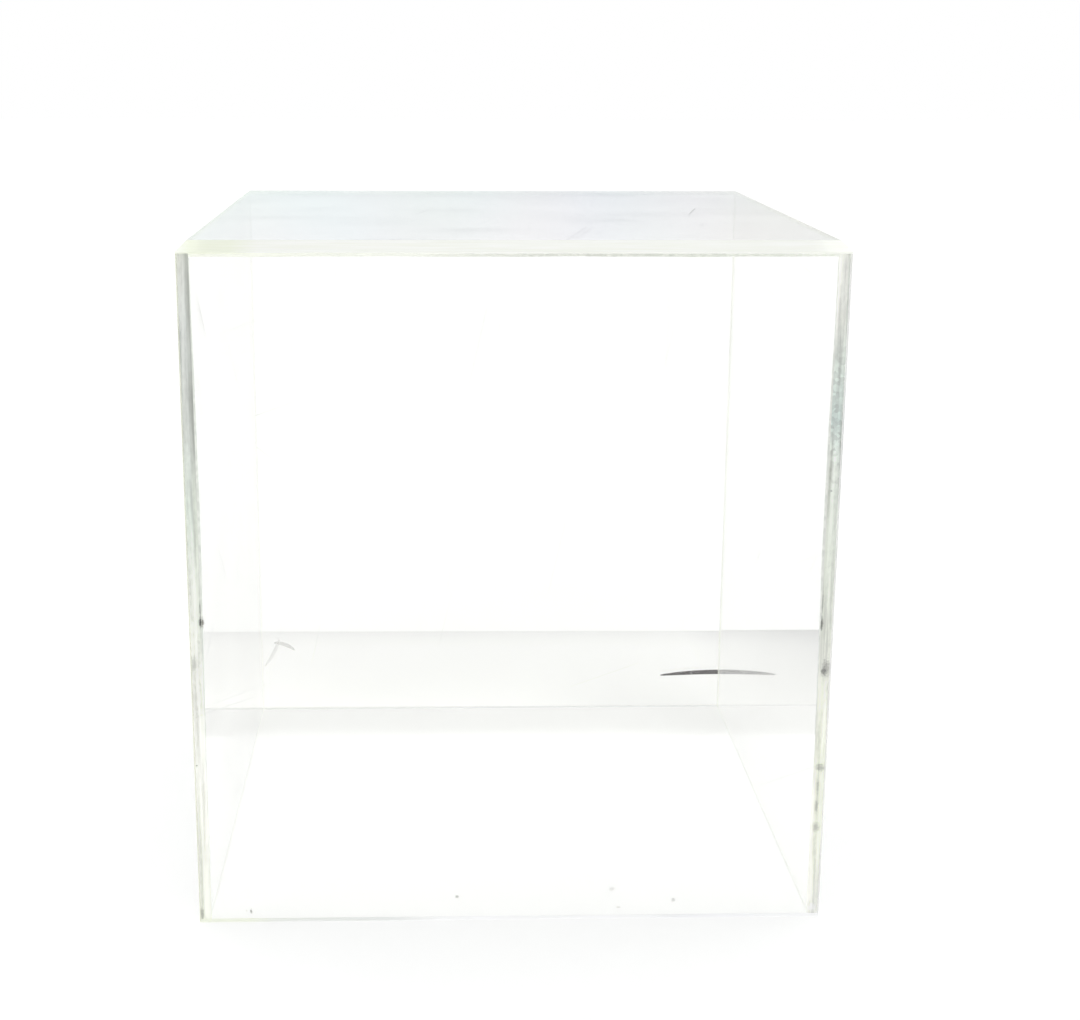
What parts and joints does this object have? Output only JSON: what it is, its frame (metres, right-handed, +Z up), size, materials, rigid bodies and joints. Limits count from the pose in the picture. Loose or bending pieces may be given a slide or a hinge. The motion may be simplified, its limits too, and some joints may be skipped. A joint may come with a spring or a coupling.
{
  "type": "pedestal display case",
  "caption": "Clear acrylic box cover, open below: flat walls under a bevelled top panel, solvent-cemented, set down over an exhibit on a plinth, shelf or counter.",
  "frame": {"origin": "centre of the case in the plane of the bottom rim, which is the surface it stands on", "axes": "+Z up to the top panel, -Y out of the front wall, +X to the right seen from the front"},
  "size_m": [0.3556, 0.3556, 0.3873],
  "materials": {
    "clear_acrylic": "clear cast acrylic sheet, glossy faces, polished edges with a faint grey-green tint, light scuffs"
  },
  "bodies": {
    "root": {"front_panel": "clear_acrylic", "back_panel": "clear_acrylic", "left_panel": "clear_acrylic", "right_panel": "clear_acrylic", "top_panel": "clear_acrylic"}
  },
  "joints": []
}
